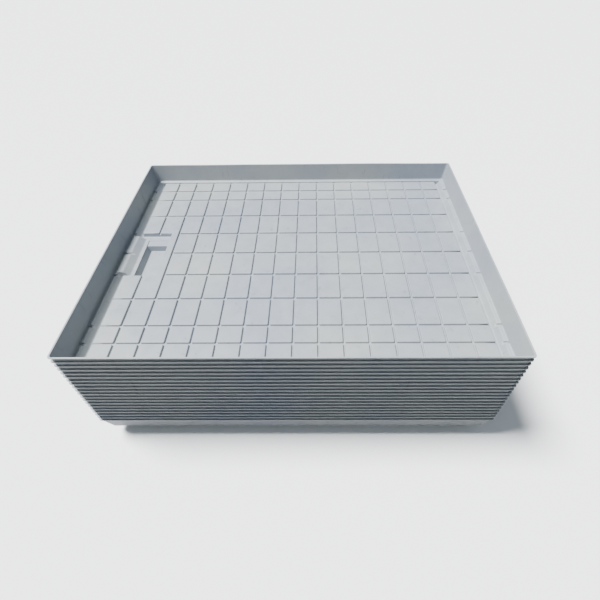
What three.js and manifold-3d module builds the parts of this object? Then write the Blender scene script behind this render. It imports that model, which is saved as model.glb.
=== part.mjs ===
// A stack of nested ebb-and-flow bench trays.
//
// Each tray is one vacuum-formed ABS sheet: four leaning walls with a narrow lip, a floor of
// raised pads, a gutter along each short end and a stepped sump at the left. The trays are all
// alike and nest until their walls wedge. Millimetres, +Z up, long side along X. The origin is
// under the middle of the stack, at the level of the lowest sump.
import * as THREE from 'three';
import { mergeVertices } from 'three/addons/utils/BufferGeometryUtils.js';
import Module from 'manifold-3d';

const wasm = await Module();
wasm.setup();

const degrees = Math.PI / 180;

// Driving dimensions. Depths are measured down from the top of a tray's own rim.

// The stack
const trayCount = 20;
const seatGap = 0.3; // left between the walls of two nested trays

// The sheet and the rim
const rimLength = 1550; // outside of the lip, along X
const rimWidth = 1220; // outside of the lip, along Y
const sheet = 4; // wall thickness everywhere
const lipReach = 2; // how far the lip stands out past the wall
const cornerRadius = 8; // inside the upright corners of the walls
const wallDraft = 11.2 * degrees; // lean of the walls from upright
const draftMargin = 2 * degrees; // steep faces on the floor lean this much more than the walls

// The floor
const floorDepth = 82; // rim to the top of the pads
const endLedge = 13.5; // flat between an end wall and its gutter
const sideLedge = 15.5; // flat between a side wall and the pads' side groove

// The gutters along the two short ends
const gutterWidth = 33; // across its mouth
const gutterDepth = 20; // below the pads
const gutterSlope = 38.5 * degrees; // lean of its outer face

// The pads and the grooves between them
const columns = 16;
const columnTrim = 14; // the outermost columns are this much narrower than the rest
const narrowRow = 80.5; // the second row from each side
const rowTrim = 5; // the outermost rows are this much narrower than that
const wideRows = 6;
const grooveWidth = 8; // across its mouth
const grooveFloor = 5; // across its bottom
const grooveDepth = 8;

// The notches that carry row grooves over the end ledges to the wall
const notchWidth = 12;
const notchDepth = 10;
const plainRows = [3, 7]; // row grooves that have no notch

// The sump at the left, which takes the place of pads in the two middle rows
const sumpMargin = 5; // past the row grooves on each side of it
const sumpFlat = 33; // plain floor between the sump and the second column groove
const sumpColumns = 2; // columns of pads that it takes up
const sumpLedge = 21; // extra ledge width along the sump
const sumpLedgeTrim = 23; // the wider ledge stops this far short of the sump's ends
const sumpSlope = 52.5 * degrees; // lean of the wider ledge's face
const upperTread = 28; // first step at the sump's back
const treadDrop = 3;
const lowerTread = 34; // second step at the sump's back
const sideTread = 16; // step along the sump's left
const narrowTread = 6; // step along its right and front
const pocketDepth = 25; // below the lower tread
const pocketSlope = 27 * degrees; // lean of the pocket's left face

// Facets round each upright corner of the walls
const cornerSegments = 2;

// Faces within this of flat are joined into one
const flatness = 0.001;

// Clearance that keeps one cutting shape from ending flush with another
const overrun = 1;

// Worked out from the above.
const steepDraft = wallDraft + draftMargin;
const nestPitch = (sheet + seatGap) / Math.sin(wallDraft);
const wallAcross = sheet / Math.cos(wallDraft);
const wallRun = floorDepth * Math.tan(wallDraft);
const mouthHalfLength = rimLength / 2 - lipReach - wallAcross;
const mouthHalfWidth = rimWidth / 2 - lipReach - wallAcross;
const footHalfLength = mouthHalfLength - wallRun;
const footHalfWidth = mouthHalfWidth - wallRun;
const gutterOuter = footHalfLength - endLedge;
const fieldHalfLength = gutterOuter - gutterWidth;
const sideGrooveOuter = footHalfWidth - sideLedge;
const fieldHalfWidth = sideGrooveOuter - grooveWidth;
const columnPitch = (2 * fieldHalfLength + 2 * columnTrim) / columns;
const narrowRowsTogether = 2 * narrowRow + 2 * (narrowRow - rowTrim);
const wideRow = (2 * fieldHalfWidth - narrowRowsTogether) / wideRows;
const padTop = -floorDepth;
const gutterBottom = padTop - gutterDepth;
const treadBottom = gutterBottom - treadDrop;
const pocketBottom = treadBottom - pocketDepth;
const trayHeight = sheet - pocketBottom;

// Centre lines of the column grooves, left to right.
const columnGrooves = [];
for (let i = 1; i < columns; i += 1) {
  columnGrooves.push((i - columns / 2) * columnPitch);
}

// Centre lines of the row grooves, back to front: the wide rows lie between the narrow ones.
const rowGrooves = [];
for (let i = 0; i <= wideRows; i += 1) {
  rowGrooves.push((wideRows / 2 - i) * wideRow);
}
rowGrooves.unshift(rowGrooves[0] + narrowRow);
rowGrooves.push(-rowGrooves[0]);

// The sump's outline at the level of the pads.
const sumpHalfWidth = wideRow + sumpMargin;
const sumpLeft = -gutterOuter + sumpLedge;
const sumpGroove = columnGrooves[sumpColumns - 1];
const sumpRight = sumpGroove - sumpFlat;

// ---- Solids

// A closed three.js geometry as a solid that can be joined and cut.
function solid(geometry) {
  const bare = geometry.index ? geometry.clone() : geometry;
  bare.deleteAttribute('normal');
  bare.deleteAttribute('uv');
  const merged = mergeVertices(bare);
  return new wasm.Manifold(new wasm.Mesh({
    numProp: 3,
    vertProperties: new Float32Array(merged.attributes.position.array),
    triVerts: new Uint32Array(merged.index.array),
  }));
}

// Joins the flat faces that cutting has split into slivers.
function joinFlats(body) {
  return body.asOriginal().simplify(flatness);
}

// A solid back as three.js geometry.
function geometryOf(body) {
  const mesh = body.getMesh();
  const geometry = new THREE.BufferGeometry();
  geometry.setAttribute('position', new THREE.BufferAttribute(mesh.vertProperties, 3));
  geometry.setIndex(new THREE.BufferAttribute(mesh.triVerts, 1));
  geometry.computeVertexNormals();
  return geometry;
}

// Moves every vertex of a geometry to where `place` puts it.
function reshape(geometry, place) {
  const position = geometry.attributes.position;
  const point = new THREE.Vector3();
  for (let i = 0; i < position.count; i += 1) {
    point.fromBufferAttribute(position, i);
    place(point);
    position.setXYZ(i, point.x, point.y, point.z);
  }
  return geometry;
}

// A block with rounded upright corners, whose half sizes are given at the level of the rim and
// whose sides lean inwards as they go down.
function leaningBlock(halfLength, halfWidth, radius, zUpper, zLower, draft) {
  const outline = new THREE.Shape();
  outline.absarc(halfLength - radius, halfWidth - radius, radius, 0, 90 * degrees);
  outline.absarc(radius - halfLength, halfWidth - radius, radius, 90 * degrees, 180 * degrees);
  outline.absarc(radius - halfLength, radius - halfWidth, radius, 180 * degrees, 270 * degrees);
  outline.absarc(halfLength - radius, radius - halfWidth, radius, 270 * degrees, 360 * degrees);
  const block = new THREE.ExtrudeGeometry(outline, {
    depth: zUpper - zLower,
    bevelEnabled: false,
    curveSegments: cornerSegments,
  });
  block.translate(0, 0, zLower);
  return solid(reshape(block, (point) => {
    const inset = -point.z * Math.tan(draft);
    point.x -= Math.sign(point.x) * inset;
    point.y -= Math.sign(point.y) * inset;
  }));
}

// A hollow in the floor. Its four sides are placed at the level `top`, and each leans inwards
// by its own draft on the way down to `bottom`.
function hollow({ x0, x1, y0, y1, top = padTop, bottom, drafts = {} }) {
  const lean = { left: steepDraft, right: steepDraft, front: steepDraft, back: steepDraft, ...drafts };
  return { x0, x1, y0, y1, top, bottom, lean };
}

// The block between two levels that fills a hollow, made larger by `grow` square to each side.
function filling({ x0, x1, y0, y1, top, lean }, zUpper, zLower, grow = 0) {
  const side = (place, inwards, draft, z) => (
    place + inwards * ((top - z) * Math.tan(draft) - grow / Math.cos(draft))
  );
  return solid(reshape(new THREE.BoxGeometry(2, 2, 2), (point) => {
    const z = point.z > 0 ? zUpper : zLower;
    point.x = point.x < 0 ? side(x0, 1, lean.left, z) : side(x1, -1, lean.right, z);
    point.y = point.y < 0 ? side(y0, 1, lean.front, z) : side(y1, -1, lean.back, z);
    point.z = z;
  }));
}

// What a hollow takes out of the tray.
function cutOf(shape) {
  return filling(shape, shape.top + overrun, shape.bottom);
}

// What the sheet under a hollow adds to the tray.
function skinOf(shape) {
  return filling(shape, shape.top - sheet / 2, shape.bottom - sheet, sheet);
}

// ---- The hollows of one tray

// The gutters run the whole way between the two side grooves' outer edges.
function gutters() {
  const along = { y0: -sideGrooveOuter, y1: sideGrooveOuter, bottom: gutterBottom };
  return [
    hollow({ x0: -gutterOuter, x1: -fieldHalfLength, ...along, drafts: { left: gutterSlope } }),
    hollow({ x0: fieldHalfLength, x1: gutterOuter, ...along, drafts: { right: gutterSlope } }),
  ];
}

// The sump's shelf opens into the gutter at its left and lies level with the gutter's floor.
function sumpShelf() {
  return hollow({
    x0: -fieldHalfLength - gutterWidth / 2,
    x1: sumpRight,
    y0: -sumpHalfWidth,
    y1: sumpHalfWidth,
    bottom: gutterBottom,
  });
}

// From the shelf the sump steps down over a lower tread to the pocket.
function sumpSteps() {
  const shelfRun = gutterDepth * Math.tan(steepDraft);
  const left = sumpLeft + gutterDepth * Math.tan(sumpSlope);
  const right = sumpRight - shelfRun;
  const back = sumpHalfWidth - shelfRun;
  const tread = hollow({
    x0: left + sideTread - overrun,
    x1: right - overrun,
    y0: overrun - back,
    y1: back - upperTread,
    top: gutterBottom,
    bottom: treadBottom,
  });
  const pocket = hollow({
    x0: left + sideTread + overrun,
    x1: right - narrowTread,
    y0: narrowTread - back,
    y1: back - upperTread - lowerTread,
    top: treadBottom,
    bottom: pocketBottom,
    drafts: { left: pocketSlope },
  });
  return [tread, pocket];
}

// The wider ledge that stands into the gutter along the sump.
function wideLedge() {
  const half = sumpHalfWidth - sumpLedgeTrim;
  return hollow({
    x0: -footHalfLength,
    x1: sumpLeft,
    y0: -half,
    y1: half,
    bottom: gutterBottom,
    drafts: { left: 0, right: -sumpSlope, front: -steepDraft, back: -steepDraft },
  });
}

// One straight groove, given by its centre line along either axis.
function groove(x0, x1, y0, y1) {
  const lean = Math.atan((grooveWidth - grooveFloor) / 2 / grooveDepth);
  const half = grooveWidth / 2;
  return hollow({
    x0: x0 - half,
    x1: x1 + half,
    y0: y0 - half,
    y1: y1 + half,
    bottom: padTop - grooveDepth,
    drafts: { left: lean, right: lean, front: lean, back: lean },
  });
}

// The grooves between the pads, and the one along each side of the field.
function padGrooves() {
  const sideGroove = sideGrooveOuter - grooveWidth / 2;
  const alongColumns = columnGrooves.map((x) => groove(x, x, -sideGroove, sideGroove));
  const alongRows = rowGrooves.map((y) => {
    const atSump = Math.abs(y) < sumpHalfWidth;
    return groove(atSump ? sumpGroove : -fieldHalfLength, fieldHalfLength, y, y);
  });
  const alongSides = [-sideGroove, sideGroove].map((y) => (
    groove(-fieldHalfLength, fieldHalfLength, y, y)
  ));
  return [...alongColumns, ...alongRows, ...alongSides];
}

// The notches through the two end ledges. Each opens into the gutter's outer face, and the ones
// at the sump run on to the face of the wider ledge.
function notches() {
  const found = [];
  rowGrooves.forEach((y, i) => {
    if (plainRows.includes(i + 1)) {
      return;
    }
    const across = { y0: y - notchWidth / 2, y1: y + notchWidth / 2, bottom: padTop - notchDepth };
    const atSump = Math.abs(y) < sumpHalfWidth - sumpLedgeTrim;
    const open = notchDepth * Math.tan(gutterSlope) + overrun;
    const openAtSump = notchDepth * Math.tan(sumpSlope) + overrun;
    found.push(hollow({
      x0: -footHalfLength,
      x1: atSump ? sumpLeft + openAtSump : -gutterOuter + open,
      ...across,
      drafts: { left: wallDraft, right: 0 },
    }));
    found.push(hollow({
      x0: gutterOuter - open,
      x1: footHalfLength,
      ...across,
      drafts: { left: 0, right: wallDraft },
    }));
  });
  return found;
}

// ---- One tray, with the top of its rim at z = 0

function tray(details) {
  const besideLedge = [...gutters(), sumpShelf()];
  const others = [...sumpSteps(), ...details];
  const wallRadius = cornerRadius + wallAcross;
  const lip = leaningBlock(rimLength / 2, rimWidth / 2, wallRadius + lipReach, 0, -sheet, 0);
  const walls = leaningBlock(
    mouthHalfLength + wallAcross,
    mouthHalfWidth + wallAcross,
    wallRadius,
    0,
    padTop - sheet,
    wallDraft,
  );
  const inside = leaningBlock(
    mouthHalfLength,
    mouthHalfWidth,
    cornerRadius,
    overrun,
    padTop,
    wallDraft,
  );
  const ledge = wideLedge();
  const ledgeTop = filling(ledge, padTop + 2 * overrun, gutterBottom - overrun);
  const underLedge = filling(ledge, padTop - sheet, gutterBottom - 2 * sheet, -sheet);
  const deepCuts = wasm.Manifold.union(besideLedge.map(cutOf)).subtract(ledgeTop);
  const shell = wasm.Manifold.union([lip, walls, ...besideLedge.map(skinOf)]).subtract(underLedge);
  const body = wasm.Manifold.union([shell, ...others.map(skinOf)]);
  const air = wasm.Manifold.union([inside, deepCuts, ...others.map(cutOf)]);
  return geometryOf(joinFlats(body.subtract(air)));
}

// The top tray carries every groove and notch. The nested ones below it have the same walls,
// gutters and sump, and a plain floor, because the tray above them hides it.
const topTray = tray([...padGrooves(), ...notches()]);
const nestedTray = tray([]);

const abs = new THREE.MeshStandardMaterial({ color: '#b7bbc1', roughness: 0.5, metalness: 0 });

const stack = new THREE.Group();
for (let i = 0; i < trayCount; i += 1) {
  const isTop = i === trayCount - 1;
  const mesh = new THREE.Mesh(isTop ? topTray : nestedTray, abs);
  mesh.name = `tray_${String(i + 1).padStart(2, '0')}`;
  mesh.position.z = trayHeight + i * nestPitch;
  stack.add(mesh);
}

export default stack;
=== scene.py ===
"""A stack of nested ebb-and-flow bench trays, each one vacuum-formed ABS sheet.

Every tray is the same sheet: a floor of raised pads between drain grooves, a gutter along each
short end, notches through the end ledges, a stepped sump, leaning walls and a narrow lip.
Metres, +Z up. Sizes of the tray are given in millimetres and scaled once, when it is done.
"""

import math

import bmesh
import bpy
from mathutils import Matrix, Vector, noise


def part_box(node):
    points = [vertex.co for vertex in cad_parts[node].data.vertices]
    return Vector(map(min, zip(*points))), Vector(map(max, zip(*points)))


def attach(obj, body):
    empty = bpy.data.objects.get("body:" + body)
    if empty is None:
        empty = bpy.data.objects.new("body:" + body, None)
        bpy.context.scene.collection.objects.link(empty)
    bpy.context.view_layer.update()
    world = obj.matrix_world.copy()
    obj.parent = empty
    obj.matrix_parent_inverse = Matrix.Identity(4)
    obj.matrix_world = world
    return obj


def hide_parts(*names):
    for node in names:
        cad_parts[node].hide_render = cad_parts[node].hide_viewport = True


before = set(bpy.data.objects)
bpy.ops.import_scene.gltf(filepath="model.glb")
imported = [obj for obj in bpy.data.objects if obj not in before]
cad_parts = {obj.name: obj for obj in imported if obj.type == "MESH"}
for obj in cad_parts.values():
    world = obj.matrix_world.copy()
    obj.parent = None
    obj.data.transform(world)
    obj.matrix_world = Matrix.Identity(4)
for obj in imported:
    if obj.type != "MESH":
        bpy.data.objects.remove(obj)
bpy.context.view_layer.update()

MM = 0.001

# ---- Driving sizes of one tray, in millimetres. Depths are measured down from the rim's top.

RIM_LENGTH = 1550
RIM_WIDTH = 1220
SHEET = 4
LIP_REACH = 2
WALL_DRAFT = math.radians(11.2)
STEEP_DRAFT = math.radians(13.2)
CORNER_RADIUS = 8

FLOOR_DEPTH = 82
END_LEDGE = 13.5
SIDE_LEDGE = 15.5

GUTTER_WIDTH = 33
GUTTER_DEPTH = 20
GUTTER_SLOPE = math.radians(38.5)

COLUMNS = 16
COLUMN_TRIM = 14
NARROW_ROW = 80.5
ROW_TRIM = 5
WIDE_ROWS = 6
GROOVE_WIDTH = 8
GROOVE_FLOOR = 5
GROOVE_DEPTH = 8

NOTCH_WIDTH = 12
NOTCH_EXTRA = 2
PLAIN_ROWS = (3, 7)

SUMP_MARGIN = 5
SUMP_FLAT = 33
SUMP_COLUMNS = 2
SUMP_LEDGE = 21
SUMP_LEDGE_TRIM = 23
SUMP_SLOPE = math.radians(52.5)
UPPER_TREAD = 28
TREAD_DROP = 3
LOWER_TREAD = 34
SIDE_TREAD = 16
NARROW_TREAD = 6
POCKET_DEPTH = 25
POCKET_SLOPE = math.radians(27)

# Roundings that the sheet takes as it is drawn over the mould
PAD_CORNER = 4
TOP_EDGE = 2.4
GROOVE_FOOT = 1.2
UNDER_EDGE = 1.5
GUTTER_FOOT = 3
WALL_FOOT = 6
LIP_EDGE = 1.2
UNDER_LIP_EDGE = 0.6

# Left off the sheet's outer side, so that rounded and waved walls stay clear when nested
NEST_ROOM = 0.5

# How far the soft rims wave up and down, and the length of the waves
RIM_WAVE = 1.6
WAVE_LENGTH = 260

# How close two places in millimetres, and how sharp a fold in radians, count as the same
TOUCHING = 0.01
CLOSE = 0.1
LEVEL_RISE = 0.5
SHARP_FOLD = 0.9
SLIGHT_FOLD = 0.3

# Strength of the light around the stack, and of the backdrop that only the camera sees
FILL_BELOW = 0.05
FILL_OVERHEAD = 0.56
BACKDROP_GLOW = 2.2

# Worked out from the above
WALL_ACROSS = SHEET / math.cos(WALL_DRAFT)
WALL_RUN = FLOOR_DEPTH * math.tan(WALL_DRAFT)
LIP = LIP_REACH + WALL_ACROSS
FOOT_X = RIM_LENGTH / 2 - LIP - WALL_RUN
FOOT_Y = RIM_WIDTH / 2 - LIP - WALL_RUN
GUTTER_X = FOOT_X - END_LEDGE
FIELD_X = GUTTER_X - GUTTER_WIDTH
SIDE_Y = FOOT_Y - SIDE_LEDGE
FIELD_Y = SIDE_Y - GROOVE_WIDTH
COLUMN_PITCH = (2 * FIELD_X + 2 * COLUMN_TRIM) / COLUMNS
WIDE_ROW = (2 * FIELD_Y - 4 * NARROW_ROW + 2 * ROW_TRIM) / WIDE_ROWS
COLUMN_GROOVES = [(i - COLUMNS / 2) * COLUMN_PITCH for i in range(1, COLUMNS)]
INNER_ROWS = [(WIDE_ROWS / 2 - i) * WIDE_ROW for i in range(WIDE_ROWS + 1)]
OUTER_ROW = INNER_ROWS[0] + NARROW_ROW
ROW_GROOVES = [OUTER_ROW, *INNER_ROWS, -OUTER_ROW]
NOTCHED_ROWS = [y for i, y in enumerate(ROW_GROOVES) if i + 1 not in PLAIN_ROWS]
SUMP_Y = WIDE_ROW + SUMP_MARGIN
LEDGE_Y = SUMP_Y - SUMP_LEDGE_TRIM
LEDGE_X = -GUTTER_X + SUMP_LEDGE
SUMP_GROOVE = COLUMN_GROOVES[SUMP_COLUMNS - 1]
SUMP_X = SUMP_GROOVE - SUMP_FLAT
GROOVE_RUN = (GROOVE_WIDTH - GROOVE_FLOOR) / 2
PAD_TOP = -FLOOR_DEPTH
GROOVE_BOTTOM = PAD_TOP - GROOVE_DEPTH
GUTTER_BOTTOM = PAD_TOP - GUTTER_DEPTH


# ---- Shaping the sheet


def flat_plate(half_x, half_y, z):
    """A flat rectangle, facing up."""
    bm = bmesh.new()
    bmesh.ops.create_grid(bm, x_segments=1, y_segments=1, size=1)
    bmesh.ops.scale(bm, vec=(half_x, half_y, 1), verts=bm.verts)
    bmesh.ops.translate(bm, vec=(0, 0, z), verts=bm.verts)
    return bm


def score(bm, axis, places, faces=None):
    """Cuts faces along straight lines that cross one axis at these places."""
    normal = Vector((axis == "x", axis == "y", 0))
    for place in places:
        chosen = [f for f in bm.faces if faces is None or faces(f.calc_center_median())]
        edges = {e for f in chosen for e in f.edges}
        corners = {v for f in chosen for v in f.verts}
        bmesh.ops.bisect_plane(
            bm,
            geom=[*chosen, *edges, *corners],
            dist=0.001,
            plane_co=normal * place,
            plane_no=normal,
        )


def verts_of(faces):
    return list({v for f in faces for v in f.verts})


def sink(bm, faces, depth, run):
    """Draws part of the sheet down, with walls that lean in by `run` all round."""
    bmesh.ops.inset_region(
        bm, faces=faces, thickness=run, use_boundary=True, use_even_offset=True
    )
    bmesh.ops.translate(bm, vec=(0, 0, -depth), verts=verts_of(faces))


def shift_x(bm, faces, place, by):
    """Slides the corners of these faces that lie at one place along X."""
    moved = [v for v in verts_of(faces) if abs(v.co.x - place) < TOUCHING]
    bmesh.ops.translate(bm, vec=(by, 0, 0), verts=moved)


def near(value, places, reach):
    return any(abs(value - place) < reach for place in places)


def in_groove(c):
    """The grooves between the pads and along the two sides of the field."""
    if abs(c.x) > FIELD_X or abs(c.y) > SIDE_Y or in_sump(c):
        return False
    along_row = near(c.y, ROW_GROOVES, GROOVE_WIDTH / 2)
    if abs(c.y) < SUMP_Y and c.x < SUMP_GROOVE:
        along_row = False
    along_column = near(c.x, COLUMN_GROOVES, GROOVE_WIDTH / 2)
    return along_row or along_column or abs(c.y) > FIELD_Y


def in_wide_ledge(c):
    return -GUTTER_X < c.x < LEDGE_X and abs(c.y) < LEDGE_Y


def in_gutter(c):
    return abs(c.y) < SIDE_Y and FIELD_X < abs(c.x) < GUTTER_X and not in_wide_ledge(c)


def in_sump(c):
    """The sump, which is open to the gutter beside it."""
    return -GUTTER_X < c.x < SUMP_X and abs(c.y) < SUMP_Y and not in_wide_ledge(c)


def in_notch(c):
    if not near(c.y, NOTCHED_ROWS, NOTCH_WIDTH / 2):
        return False
    return abs(c.x) > GUTTER_X or in_wide_ledge(c)


def chosen_faces(bm, *tests):
    return [f for f in bm.faces if any(test(f.calc_center_median()) for test in tests)]


def score_floor(bm):
    """Marks out the pads, gutters, notches and sump on the flat floor."""
    half = GROOVE_WIDTH / 2
    sump_side = SUMP_GROOVE - half
    sides = (-half, half)
    notch_sides = (-NOTCH_WIDTH / 2, NOTCH_WIDTH / 2)
    column_edges = [x + side for x in COLUMN_GROOVES for side in sides]
    row_edges = [y + side for y in ROW_GROOVES for side in sides]
    notch_edges = [y + side for y in NOTCHED_ROWS for side in notch_sides]

    def beside_sump(c):
        return abs(c.y) < SUMP_Y and c.x < sump_side

    def on_end_ledge(c):
        return abs(c.x) > GUTTER_X or in_wide_ledge(c)

    score(bm, "x", [-GUTTER_X, -FIELD_X, FIELD_X, GUTTER_X, *column_edges])
    score(bm, "y", [-SIDE_Y, -FIELD_Y, FIELD_Y, SIDE_Y])
    score(bm, "y", [-SUMP_Y, SUMP_Y], lambda c: -FIELD_X < c.x < sump_side)
    score(bm, "x", [SUMP_X], beside_sump)
    score(bm, "x", [LEDGE_X], lambda c: -GUTTER_X < c.x < -FIELD_X)
    score(bm, "y", [-LEDGE_Y, LEDGE_Y], lambda c: -GUTTER_X < c.x < LEDGE_X)
    score(bm, "y", row_edges, lambda c: abs(c.x) < FIELD_X and not beside_sump(c))
    score(bm, "y", notch_edges, on_end_ledge)


def mark_shallow(bm):
    """Marks the faces of the grooves and notches, and makes each crossing of grooves one face.

    The score lines at the pads' corners move to the middles of the pads' sides.
    """
    columns = [-FIELD_X, *COLUMN_GROOVES, FIELD_X]
    rows = [SIDE_Y, *ROW_GROOVES, -SIDE_Y]
    column_middles = [(a + b) / 2 for a, b in zip(columns, columns[1:])]
    row_middles = [(a + b) / 2 for a, b in zip(rows, rows[1:])]

    def across_row(c):
        return in_groove(c) and not near(c.x, COLUMN_GROOVES, GROOVE_WIDTH / 2)

    def across_column(c):
        return in_groove(c) and near(c.x, COLUMN_GROOVES, CLOSE)

    score(bm, "x", column_middles, across_row)
    score(bm, "y", row_middles, across_column)
    shallow = bm.faces.layers.int.new("shallow")
    for face in chosen_faces(bm, in_groove, in_notch):
        face[shallow] = 1
    at_crossings = []
    for edge in bm.edges:
        middle = (edge.verts[0].co + edge.verts[1].co) / 2
        within = all(in_groove(f.calc_center_median()) for f in edge.link_faces)
        kept = near(middle.x, column_middles, CLOSE) or near(middle.y, row_middles, CLOSE)
        if within and not kept:
            at_crossings.append(edge)
    bmesh.ops.dissolve_edges(bm, edges=at_crossings, use_verts=False)


def form_floor(bm):
    """Draws the grooves, the notches, the gutters and the sump down, one level at a time."""
    deep = bmesh.ops.dissolve_faces(bm, faces=chosen_faces(bm, in_gutter, in_sump))["region"]
    marked = bm.faces.layers.int["shallow"]
    shallow = [f for f in bm.faces if f[marked] and f not in deep]
    sink(bm, shallow + deep, GROOVE_DEPTH, GROOVE_RUN)
    gutter_run = GROOVE_DEPTH * math.tan(GUTTER_SLOPE)
    ledge_run = GROOVE_DEPTH * math.tan(SUMP_SLOPE)
    for side in (-1, 1):
        foot = side * (GUTTER_X - GROOVE_RUN)
        shift_x(bm, deep, foot, -side * (gutter_run - GROOVE_RUN))
    shift_x(bm, deep, LEDGE_X + GROOVE_RUN, ledge_run - GROOVE_RUN)

    rest = GUTTER_DEPTH - GROOVE_DEPTH
    run = rest * math.tan(STEEP_DRAFT)
    sink(bm, deep, rest, run)
    for side in (-1, 1):
        foot = side * (GUTTER_X - gutter_run - run)
        shift_x(bm, deep, foot, -side * (rest * math.tan(GUTTER_SLOPE) - run))
    shift_x(bm, deep, LEDGE_X + ledge_run + run, rest * math.tan(SUMP_SLOPE) - run)
    form_sump(bm)


def form_sump(bm):
    """Steps the sump down from its shelf over a tread to the pocket."""
    drop_run = GROOVE_RUN + (GUTTER_DEPTH - GROOVE_DEPTH) * math.tan(STEEP_DRAFT)
    left = LEDGE_X + GUTTER_DEPTH * math.tan(SUMP_SLOPE) + SIDE_TREAD
    right = SUMP_X - drop_run - NARROW_TREAD
    back = SUMP_Y - drop_run - UPPER_TREAD
    front = NARROW_TREAD + drop_run - SUMP_Y
    pocket_back = back - LOWER_TREAD

    def on_shelf(c):
        return abs(c.z - GUTTER_BOTTOM) < TOUCHING and c.x < SUMP_X

    def between(c):
        return on_shelf(c) and left < c.x < right

    def on_basin(c):
        return between(c) and front < c.y < back

    score(bm, "x", [left, right], on_shelf)
    score(bm, "y", [front, pocket_back, back], between)
    basin = chosen_faces(bm, on_basin)
    pocket = [f for f in basin if f.calc_center_median().y < pocket_back]
    sink(bm, basin, TREAD_DROP, TREAD_DROP * math.tan(STEEP_DRAFT))
    run = POCKET_DEPTH * math.tan(STEEP_DRAFT)
    sink(bm, pocket, POCKET_DEPTH, run)
    foot = min(v.co.x for v in verts_of(pocket))
    shift_x(bm, pocket, foot, POCKET_DEPTH * math.tan(POCKET_SLOPE) - run)


def open_edges(bm):
    return [e for e in bm.edges if e.is_boundary]


def raise_walls(bm):
    """Draws the leaning walls up from the floor's edge, and turns the lip out from their top."""
    wall = bmesh.ops.extrude_edge_only(bm, edges=open_edges(bm))["geom"]
    top = [v for v in wall if isinstance(v, bmesh.types.BMVert)]
    bmesh.ops.translate(bm, vec=(0, 0, FLOOR_DEPTH), verts=top)
    grown = (1 + WALL_RUN / FOOT_X, 1 + WALL_RUN / FOOT_Y, 1)
    bmesh.ops.scale(bm, vec=grown, verts=top)
    lip = bmesh.ops.extrude_edge_only(bm, edges=open_edges(bm))["geom"]
    outer = [v for v in lip if isinstance(v, bmesh.types.BMVert)]
    mouth_x = FOOT_X + WALL_RUN
    mouth_y = FOOT_Y + WALL_RUN
    bmesh.ops.scale(bm, vec=(1 + LIP / mouth_x, 1 + LIP / mouth_y, 1), verts=outer)
    bmesh.ops.recalc_face_normals(bm, faces=bm.faces)


def round_off(bm, edges, radius, segments):
    bmesh.ops.bevel(
        bm,
        geom=edges,
        offset=radius,
        offset_type="OFFSET",
        segments=segments,
        profile=0.5,
        affect="EDGES",
        clamp_overlap=False,
        material=-1,
    )


def at_wall_corner(vertex):
    run = (vertex.co.z - PAD_TOP) * math.tan(WALL_DRAFT) - TOUCHING
    return abs(vertex.co.x) > FOOT_X + run and abs(vertex.co.y) > FOOT_Y + run


def round_walls(bm):
    """Rounds the upright corners of the walls, and the corners of the lip with them."""
    edges = [e for e in bm.edges if all(at_wall_corner(v) for v in e.verts)]
    round_off(bm, edges, CORNER_RADIUS, 4)


def thicken(bm):
    """Gives the sheet its thickness, downwards, and marks which faces are its upper side."""
    upper = bm.faces.layers.int.new("upper")
    for face in bm.faces:
        face[upper] = 1
    made = bmesh.ops.solidify(bm, geom=list(bm.faces), thickness=SHEET - NEST_ROOM)["geom"]
    for face in made:
        if isinstance(face, bmesh.types.BMFace):
            face[upper] = 0
    bmesh.ops.recalc_face_normals(bm, faces=bm.faces)


def fold_angle(edge):
    return edge.calc_face_angle_signed(0)


def is_level(edge):
    return abs(edge.verts[0].co.z - edge.verts[1].co.z) < LEVEL_RISE


def on_upper_side(edge, upper):
    return all(face[upper] for face in edge.link_faces)


def at_groove_end(edge):
    """Whether a corner stands where a groove opens into a gutter or the sump."""
    foot = min(edge.verts, key=lambda v: v.co.z)
    if abs(foot.co.z - GROOVE_BOTTOM) > CLOSE or abs(foot.co.x) > GUTTER_X - GUTTER_WIDTH / 2:
        return False
    return min(v.co.z for f in foot.link_faces for v in f.verts) < GROOVE_BOTTOM - 1


def corner_kind(edge, upper):
    """Which upright corner an edge is: of a pad, or of a gutter, notch or sump."""
    if is_level(edge) or abs(fold_angle(edge)) < SHARP_FOLD:
        return None
    middle = (edge.verts[0].co + edge.verts[1].co) / 2
    above = on_upper_side(edge, upper)
    if middle.z > PAD_TOP / 2 or above and at_groove_end(edge):
        return None
    if not above or abs(middle.x) < FIELD_X and middle.z > GROOVE_BOTTOM:
        return "pad"
    return "gutter" if abs(middle.x) < FOOT_X - NOTCH_EXTRA else None


def round_corners(bm):
    upper = bm.faces.layers.int["upper"]
    for kind in ("pad", "gutter"):
        edges = [e for e in bm.edges if corner_kind(e, upper) == kind]
        round_off(bm, edges, PAD_CORNER, 2)


def fold_reach(edge, upper):
    """How far the rounding of a level fold reaches on each side, by what the fold is."""
    angle = fold_angle(edge)
    level = edge.verts[0].co.z
    groove_end = angle > 0 and abs(level - GROOVE_BOTTOM) < CLOSE
    if not is_level(edge) or abs(angle) < SLIGHT_FOLD or groove_end:
        return 0
    if level > PAD_TOP / 2:
        return LIP_EDGE if level > -SHEET / 2 else UNDER_LIP_EDGE
    if not on_upper_side(edge, upper):
        return UNDER_EDGE
    if abs(level - PAD_TOP) < CLOSE:
        return WALL_FOOT if angle < 0 else TOP_EDGE
    if angle < 0 and abs(level - GUTTER_BOTTOM) < CLOSE:
        return GUTTER_FOOT
    return GROOVE_FOOT


def mark_folds(bm):
    """Stores each level fold's rounding, as a share of the widest one."""
    upper = bm.faces.layers.int["upper"]
    weight = bm.edges.layers.float.new("bevel_weight_edge")
    for edge in bm.edges:
        edge[weight] = fold_reach(edge, upper) / WALL_FOOT


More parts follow.
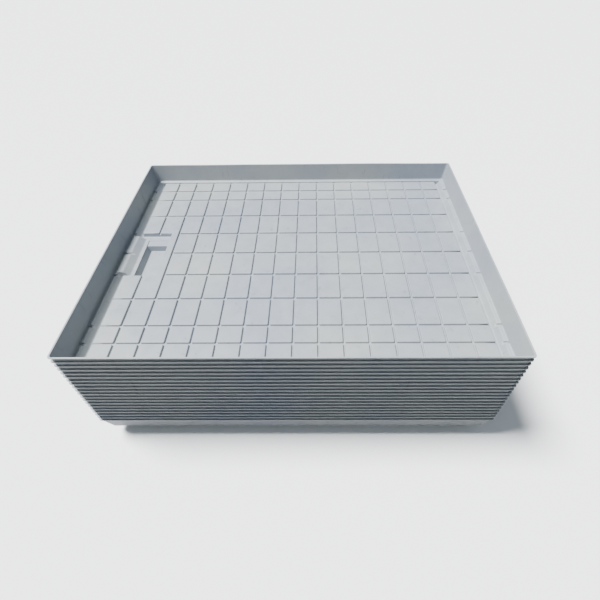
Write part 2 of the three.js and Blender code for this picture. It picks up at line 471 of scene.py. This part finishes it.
def formed_tray():
    """One tray as a mesh in metres, with the top of its rim at z = 0."""
    bm = flat_plate(FOOT_X, FOOT_Y, PAD_TOP)
    score_floor(bm)
    mark_shallow(bm)
    form_floor(bm)
    raise_walls(bm)
    round_walls(bm)
    thicken(bm)
    round_corners(bm)
    mark_folds(bm)
    mesh = bpy.data.meshes.new("formed_tray")
    bm.to_mesh(mesh)
    bm.free()
    for polygon in mesh.polygons:
        polygon.use_smooth = True
    tray = bpy.data.objects.new("formed_tray", mesh)
    bpy.context.scene.collection.objects.link(tray)
    rounding = tray.modifiers.new("rounding", "BEVEL")
    rounding.limit_method = "WEIGHT"
    rounding.offset_type = "OFFSET"
    rounding.width = WALL_FOOT
    rounding.segments = 2
    rounding.use_clamp_overlap = False
    shading = tray.modifiers.new("even_shading", "WEIGHTED_NORMAL")
    shading.mode = "FACE_AREA"
    seen = tray.evaluated_get(bpy.context.evaluated_depsgraph_get())
    rounded = bpy.data.meshes.new_from_object(seen)
    bpy.data.objects.remove(tray)
    rounded.transform(Matrix.Scale(MM, 4))
    return rounded


# ---- Materials


def srgb(code):
    """A colour given as sRGB hex, as Blender's linear colour."""
    parts = [int(code[i : i + 2], 16) / 255 for i in (0, 2, 4)]
    linear = [p / 12.92 if p <= 0.04045 else ((p + 0.055) / 1.055) ** 2.4 for p in parts]
    return (*linear, 1)


def add(tree, kind, settings=None, links=None):
    """Adds one node. Settings go to its properties or sockets, links come from other nodes."""
    node = tree.nodes.new(kind)
    for name, value in (settings or {}).items():
        if isinstance(name, str) and hasattr(node, name):
            setattr(node, name, value)
        else:
            node.inputs[name].default_value = value
    for name, source in (links or {}).items():
        tree.links.new(source, node.inputs[name])
    return node


def new_material(name):
    material = bpy.data.materials.new(name)
    material.use_nodes = True
    material.node_tree.nodes.clear()
    return material, material.node_tree


def per_mm(size):
    """The noise scale that gives a pattern of this size, in millimetres."""
    return 1 / (size * MM)


def vacuum_formed_abs():
    """Light grey ABS sheet, heated and drawn over a mould.

    The eye sees an even, semi-matt grey with a faint orange peel, slow colour drift where the
    sheet was drawn thinner, dusty smudges from handling, and short slanting scuffs.
    """
    material, tree = new_material("vacuum_formed_grey_abs")
    place = add(tree, "ShaderNodeTexCoord").outputs["Object"]
    drift = add(
        tree,
        "ShaderNodeTexNoise",
        {"Scale": per_mm(420), "Detail": 3, "Roughness": 0.5},
        {"Vector": place},
    )
    smudge = add(
        tree,
        "ShaderNodeTexNoise",
        {"Scale": per_mm(60), "Detail": 5, "Roughness": 0.62, "Distortion": 0.4},
        {"Vector": place},
    )
    dust = add(
        tree,
        "ShaderNodeTexNoise",
        {"Scale": per_mm(9), "Detail": 4, "Roughness": 0.7},
        {"Vector": place},
    )
    slanted = add(
        tree,
        "ShaderNodeMapping",
        {"Rotation": (0, math.radians(35), 0), "Scale": (1, 1, 0.12)},
        {"Vector": place},
    )
    scuffs = add(
        tree,
        "ShaderNodeTexNoise",
        {"Scale": per_mm(26), "Detail": 3, "Roughness": 0.6},
        {"Vector": slanted.outputs["Vector"]},
    )
    drift_share = add(
        tree,
        "ShaderNodeMapRange",
        {"From Min": 0.35, "From Max": 0.65},
        {"Value": drift.outputs["Fac"]},
    )
    smudge_shade = add(
        tree,
        "ShaderNodeMapRange",
        {"From Min": 0.3, "From Max": 0.6, "To Min": 0.93, "To Max": 1},
        {"Value": smudge.outputs["Fac"]},
    )
    dust_shade = add(
        tree,
        "ShaderNodeMapRange",
        {"From Min": 0.25, "From Max": 0.42, "To Min": 0.9, "To Max": 1},
        {"Value": dust.outputs["Fac"]},
    )
    scuff_shade = add(
        tree,
        "ShaderNodeMapRange",
        {"From Min": 0.62, "From Max": 0.74, "To Min": 1, "To Max": 0.8},
        {"Value": scuffs.outputs["Fac"]},
    )
    drifted = add(
        tree,
        "ShaderNodeMix",
        {"data_type": "RGBA", 6: srgb("838A95"), 7: srgb("909596")},
        {0: drift_share.outputs["Result"]},
    )
    smudged = add(
        tree,
        "ShaderNodeMix",
        {"data_type": "RGBA", "blend_type": "MULTIPLY", 0: 1.0},
        {6: drifted.outputs[2], 7: smudge_shade.outputs["Result"]},
    )
    dusted = add(
        tree,
        "ShaderNodeMix",
        {"data_type": "RGBA", "blend_type": "MULTIPLY", 0: 1.0},
        {6: smudged.outputs[2], 7: dust_shade.outputs["Result"]},
    )
    scuffed = add(
        tree,
        "ShaderNodeMix",
        {"data_type": "RGBA", "blend_type": "MULTIPLY", 0: 1.0},
        {6: dusted.outputs[2], 7: scuff_shade.outputs["Result"]},
    )
    gloss = add(
        tree,
        "ShaderNodeMapRange",
        {"From Min": 0.3, "From Max": 0.7, "To Min": 0.4, "To Max": 0.56},
        {"Value": smudge.outputs["Fac"]},
    )
    peel = add(
        tree,
        "ShaderNodeTexNoise",
        {"Scale": per_mm(5), "Detail": 2},
        {"Vector": place},
    )
    waves = add(
        tree,
        "ShaderNodeTexNoise",
        {"Scale": per_mm(130), "Detail": 1},
        {"Vector": place},
    )
    slow_bump = add(
        tree,
        "ShaderNodeBump",
        {"Strength": 0.35, "Distance": 0.004},
        {"Height": waves.outputs["Fac"]},
    )
    bump = add(
        tree,
        "ShaderNodeBump",
        {"Strength": 0.12, "Distance": 0.0006},
        {"Height": peel.outputs["Fac"], "Normal": slow_bump.outputs["Normal"]},
    )
    shader = add(
        tree,
        "ShaderNodeBsdfPrincipled",
        {"IOR": 1.53},
        {
            "Base Color": scuffed.outputs[2],
            "Roughness": gloss.outputs["Result"],
            "Normal": bump.outputs["Normal"],
        },
    )
    add(tree, "ShaderNodeOutputMaterial", links={"Surface": shader.outputs[0]})
    return material


def pale_floor_paint():
    material, tree = new_material("pale_floor_paint")
    shader = add(
        tree, "ShaderNodeBsdfPrincipled", {"Base Color": srgb("F4F5F6"), "Roughness": 0.9}
    )
    add(tree, "ShaderNodeOutputMaterial", links={"Surface": shader.outputs[0]})
    return material


# ---- The stack


def wave_rim(mesh, seed):
    """Waves the rim of one sheet gently, and keeps its walls on their own slope."""
    for vertex in mesh.vertices:
        place = vertex.co
        if place.z < PAD_TOP * MM / 2:
            continue
        along = Vector((place.x, place.y, seed)) / (WAVE_LENGTH * MM)
        rise = RIM_WAVE * MM * noise.noise(along)
        out = rise * math.tan(WALL_DRAFT)
        place.x *= 1 + out / (FOOT_X * MM)
        place.y *= 1 + out / (FOOT_Y * MM)
        place.z += rise


def stack_trays(formed, finish):
    for seed, name in enumerate(sorted(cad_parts)):
        mesh = formed.copy()
        wave_rim(mesh, seed)
        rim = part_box(name)[1].z
        mesh.transform(Matrix.Translation((0, 0, rim)))
        mesh.name = name + "_sheet"
        tray = bpy.data.objects.new(name + "_sheet", mesh)
        bpy.context.scene.collection.objects.link(tray)
        mesh.materials.clear()
        mesh.materials.append(finish)
        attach(tray, name)
        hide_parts(name)


# ---- Floor, light and camera


def lay_floor(finish):
    """A pale floor that throws no light back: the fill and the front lamp stand in for it."""
    bm = flat_plate(20, 20, 0)
    mesh = bpy.data.meshes.new("studio_floor")
    bm.to_mesh(mesh)
    bm.free()
    mesh.materials.append(finish)
    floor = bpy.data.objects.new("studio_floor", mesh)
    bpy.context.scene.collection.objects.link(floor)
    floor.visible_diffuse = False


def aim(obj, place, target):
    obj.location = place
    obj.rotation_euler = (Vector(target) - Vector(place)).to_track_quat("-Z", "Y").to_euler()


def soft_lamp(name, energy, spread, place):
    """A lamp far away, as wide in the sky as `spread` degrees."""
    light = bpy.data.lights.new(name, "SUN")
    light.energy = energy
    light.angle = math.radians(spread)
    lamp = bpy.data.objects.new(name, light)
    bpy.context.scene.collection.objects.link(lamp)
    aim(lamp, place, (0, 0, 0))


def light_studio():
    """A key from high on the left, a weak one on the front, and a fill that fades downwards."""
    world = bpy.data.worlds.new("studio")
    bpy.context.scene.world = world
    world.use_nodes = True
    tree = world.node_tree
    direction = add(tree, "ShaderNodeTexCoord").outputs["Generated"]
    height = add(tree, "ShaderNodeSeparateXYZ", links={"Vector": direction})
    fill = add(
        tree,
        "ShaderNodeMapRange",
        {"From Min": -0.2, "From Max": 1, "To Min": FILL_BELOW, "To Max": FILL_OVERHEAD},
        {"Value": height.outputs["Z"]},
    )
    seen = add(tree, "ShaderNodeLightPath").outputs["Is Camera Ray"]
    strength = add(
        tree,
        "ShaderNodeMath",
        {"operation": "MULTIPLY_ADD", 1: BACKDROP_GLOW},
        {0: seen, 2: fill.outputs["Result"]},
    )
    background = tree.nodes["Background"]
    background.inputs["Color"].default_value = srgb("C3D2DE")
    tree.links.new(strength.outputs[0], background.inputs["Strength"])
    soft_lamp("soft_key", energy=12.5, spread=20, place=(-4.4, 0.8, 9))
    soft_lamp("front_fill", energy=1.3, spread=60, place=(-1, -9, 0.9))


def place_camera():
    camera = bpy.data.cameras.new("view")
    camera.sensor_width = 36
    camera.lens = 24.196
    camera.shift_x = -0.0177
    camera.shift_y = 0.0026
    viewer = bpy.data.objects.new("view", camera)
    bpy.context.scene.collection.objects.link(viewer)
    viewer.location = (0.0786, -1.3417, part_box("tray_20")[1].z + 1.0492)
    turn = Vector((-0.8227, 0.0086, 0.0086))
    facing = Matrix.Rotation(turn.length, 3, turn.normalized())
    towards_y = Matrix.Rotation(math.radians(90), 3, "X")
    viewer.rotation_euler = (facing @ towards_y).to_euler()
    bpy.context.scene.camera = viewer


stack_trays(formed_tray(), vacuum_formed_abs())
lay_floor(pale_floor_paint())
light_studio()
place_camera()
